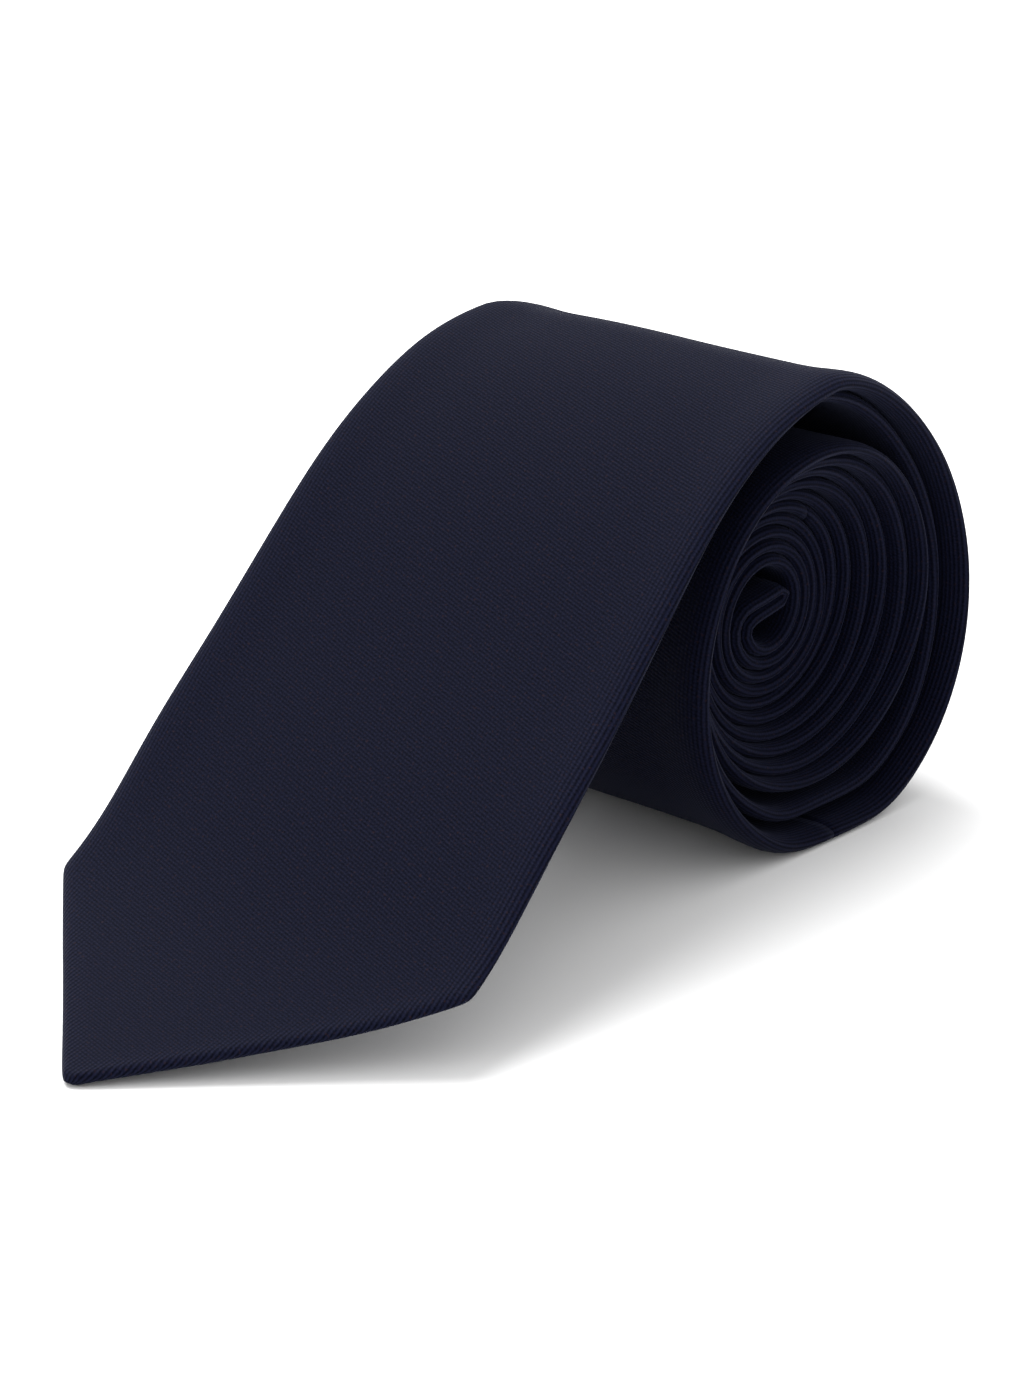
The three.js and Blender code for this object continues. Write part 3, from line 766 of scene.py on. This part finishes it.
def twill(name, base, light, fleck, sheen=0.035, depth=0.00007):
    """Product of two sines, one for the ridges and one for the rows of floats.

    Where the cloth is folded the rows count for more than the ridges, and the
    colour there is painted darker, a painted shade of the rounded edge.
    """
    cloth = Finish(name, Sheen_Weight=sheen, Sheen_Roughness=0.45,
                   Sheen_Tint=(0.45, 0.5, 0.8, 1.0), Specular_IOR_Level=0.035)
    uv, u, v = cloth.uv()
    drift = cloth.noise(uv, 0.05, 1.0) - 0.5
    across = v * float(np.cos(RIDGE_ANGLE)) + u * float(np.sin(RIDGE_ANGLE)) + drift * 0.8
    ridge_turns = across / RIDGE
    ridge = ridge_turns.wave()
    row = (u / ROW + drift * 0.6).wave()
    fold = cloth.node("ShaderNodeAttribute", {"attribute_name": "fold"}, out=2)
    stretched = cloth.node("ShaderNodeMapping", Vector=uv, Rotation=(0, 0, np.pi / 4),
                           Scale=(0.25, 3.0, 1.0))
    yarn = cloth.noise(stretched, 1.3, 4.0)
    grain = cloth.noise(uv, 3.1, 1.0)
    specks = ((cloth.noise(uv, 1.9, 1.0) - 0.62) * 9).clip()
    flat_weave = ridge * (row * 0.4 + 0.6)
    rib_weave = row * (ridge * 0.3 + 0.9)
    height = flat_weave * (1.0 - fold) + rib_weave * fold
    # Subtracting the fold mask paints shade on the cloth along its folded edges
    tone = (height * (fold * 0.35 + 0.5) + yarn * 0.35 + (grain - 0.5) * 1.3
            - fold * 0.12 + 0.08).clip()
    colour = cloth.mix(tone, base, light)
    colour = cloth.mix(specks * 0.5, colour, fleck)
    cloth.plug(colour, cloth.shader.inputs["Base Color"])
    cloth.plug(0.8 - height * 0.16, cloth.shader.inputs["Roughness"])
    cloth.bump(height + yarn * 0.25, depth, 0.8)
    return cloth.material


NAVY = twill("navy twill", (0.0004, 0.0006, 0.0030, 1), (0.0052, 0.0062, 0.0180, 1),
             (0.016, 0.008, 0.010, 1))

# %% [markdown]
# ## Lining, wool, thread and label cloth
# The lining is a close plain weave with a low gloss, the wool is pale and
# hairy, the thread is a twisted navy cord and the labels are tight satin tape.

# %% Other materials
def plain_weave(name, dark, light, pitch, roughness, sheen, depth):
    """Chequer of two crossed sines, one per yarn direction."""
    cloth = Finish(name, Sheen_Weight=sheen, Roughness=roughness, Specular_IOR_Level=0.1)
    uv, u, v = cloth.uv()
    weave = ((u / pitch).wave() - 0.5) * ((v / pitch).wave() - 0.5) * 2 + 0.5
    cloudy = cloth.noise(uv, 0.4, 3.0)
    cloth.plug(cloth.mix((weave * 0.5 + cloudy * 0.5).clip(), dark, light),
               cloth.shader.inputs["Base Color"])
    cloth.bump(weave + cloudy * 0.3, depth, 0.7)
    return cloth.material


LINING = plain_weave("navy lining", (0.004, 0.005, 0.013, 1), (0.011, 0.013, 0.03, 1),
                     0.35, 0.5, 0.03, 0.00003)
WOOL = plain_weave("interlining wool", (0.45, 0.41, 0.34, 1), (0.72, 0.68, 0.6, 1),
                   0.9, 0.95, 0.5, 0.0001)
LABEL = plain_weave("label satin", (0.012, 0.015, 0.03, 1), (0.03, 0.036, 0.07, 1),
                    0.25, 0.35, 0.0, 0.00002)
TAPE = plain_weave("care tape", (0.6, 0.6, 0.56, 1), (0.78, 0.77, 0.73, 1),
                   0.3, 0.5, 0.0, 0.00002)


def thread_finish():
    """Dark yarn whose strands are one very fine noise between two colours."""
    thread = Finish("navy thread", Roughness=0.6, Sheen_Weight=0.2)
    place_at = thread.node("ShaderNodeTexCoord", out=3)
    strands = thread.noise(place_at, 4000.0, 1.0)
    thread.plug(thread.mix(strands, (0.003, 0.004, 0.009, 1), (0.014, 0.017, 0.032, 1)),
                thread.shader.inputs["Base Color"])
    return thread.material


THREAD_FINISH = thread_finish()

# %% [markdown]
# ## Fitting the pieces to the technical model
# Each piece stands for the solids of the technical model that it shows, which
# are hidden, and takes its material. The apron's cloth, wool and thread, which
# cross the hinge line, stay where they lie in the frame; the blade's lining and
# bar tack ride on the apron and the other pieces on the roll.

# %% Pieces, materials and bodies
dressed = {
    "blade_apron_cloth": (NAVY, "navy_twill", ["blade_apron_shell"]),
    "blade_roll_cloth": (NAVY, "navy_twill", ["blade_roll_shell"]),
    "neck_cloth": (NAVY, "navy_twill", ["neck_shell"]),
    "tail_cloth": (NAVY, "navy_twill", ["tail_shell"]),
    "apron_wool": (WOOL, "wool_interlining", ["apron_interlining"]),
    "roll_wool": (WOOL, "wool_interlining", ["roll_interlining"]),
    "blade_lining": (LINING, "navy_lining", ["blade_tipping"]),
    "tail_lining": (LINING, "navy_lining", ["tail_tipping"]),
    "apron_slip_stitch_thread": (THREAD_FINISH, "navy_thread", ["apron_slip_stitch"]),
    "roll_slip_stitch_thread": (THREAD_FINISH, "navy_thread", ["roll_slip_stitch"]),
    "blade_tack": (THREAD_FINISH, "navy_thread", ["blade_bar_tack"]),
    "tail_tack": (THREAD_FINISH, "navy_thread", ["tail_bar_tack"]),
    "keeper": (NAVY, "navy_twill", ["keeper_loop"]),
    "blank_label": (LABEL, "navy_label", ["makers_label"]),
    "care_tape": (TAPE, "white_label", ["care_label"]),
    "keeper_near_stitches": (THREAD_FINISH, "navy_thread", ["keeper_tack_near"]),
    "keeper_far_stitches": (THREAD_FINISH, "navy_thread", ["keeper_tack_far"]),
    "label_near_stitches": (THREAD_FINISH, "navy_thread", ["label_tack_near"]),
    "label_far_stitches": (THREAD_FINISH, "navy_thread", ["label_tack_far"]),
    "care_stitches": (THREAD_FINISH, "navy_thread", ["care_label_tack"]),
}
crossing_pieces = ["blade_apron_cloth", "apron_wool", "apron_slip_stitch_thread"]
apron_pieces = ["blade_lining", "blade_tack"]
for name, (finish, slot_name, nodes) in dressed.items():
    obj = parts[name]
    obj.data.materials.append(finish)
    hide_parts(*nodes)
    if name in crossing_pieces:
        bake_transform(obj)
    else:
        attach(obj, "apron" if name in apron_pieces else "roll")
print(len(dressed), "pieces placed")

# %% [markdown]
# ## Floor, light and camera
# A plain white floor, a broad lamp high on the left and a weaker one from the
# front keep the light soft, so that the shadow gathers under the apron and
# fades to the right. The camera looks down on the tie from the front right
# with a long lens.

# %% Floor
bpy.ops.mesh.primitive_plane_add(size=6, location=(0, 0, 0))
floor = bpy.context.object
floor.name = "floor"
paper = Finish("floor paper", Roughness=0.9, Specular_IOR_Level=0.1,
               Base_Color=(0.93, 0.93, 0.93, 1))
floor.data.materials.append(paper.material)


# %% Lamps
def soft_lamp(name, place_m, size, power):
    """Round area lamp turned towards the tie."""
    lamp = bpy.data.lights.new(name, "AREA")
    lamp.shape, lamp.size, lamp.energy = "DISK", size, power
    obj = bpy.data.objects.new(name, lamp)
    obj.location = place_m
    obj.rotation_euler = (Vector((0, 0, 0.03)) - Vector(place_m)).to_track_quat(
        "-Z", "Y").to_euler()
    bpy.context.scene.collection.objects.link(obj)


soft_lamp("high left lamp", (-0.55, 0.1, 1.5), 1.3, 31)
soft_lamp("front lamp", (-0.5, -1.5, 0.9), 1.0, 5)
world = bpy.context.scene.world or bpy.data.worlds.new("studio")
bpy.context.scene.world = world
world.use_nodes = True
sky = world.node_tree.nodes["Background"]
sky.inputs["Color"].default_value = (1, 1, 1, 1)
sky.inputs["Strength"].default_value = 1.08
print("two lamps and a white sky")

# %% Camera
AZIMUTH, ELEVATION, DISTANCE = np.radians(42.3), np.radians(20.6), 0.5503
SENSOR_MM, LENS_MM = 24.0, 68.8448
look_at = Vector((0.0055, HINGE_Y * MM - 0.0441, 0.0297))
away = Vector((np.sin(AZIMUTH) * np.cos(ELEVATION), -np.cos(AZIMUTH) * np.cos(ELEVATION),
               np.sin(ELEVATION)))
bpy.context.scene.view_settings.view_transform = "Standard"
camera_data = bpy.data.cameras.new("camera")
camera_data.sensor_fit = "VERTICAL"
camera_data.sensor_height = SENSOR_MM
camera_data.lens = LENS_MM
camera_data.clip_start = 0.01
camera = bpy.data.objects.new("camera", camera_data)
camera.location = look_at + away * DISTANCE
camera.rotation_euler = (-away).to_track_quat("-Z", "Y").to_euler()
bpy.context.scene.collection.objects.link(camera)
bpy.context.scene.camera = camera
print("lens", round(camera_data.lens, 1), "mm")
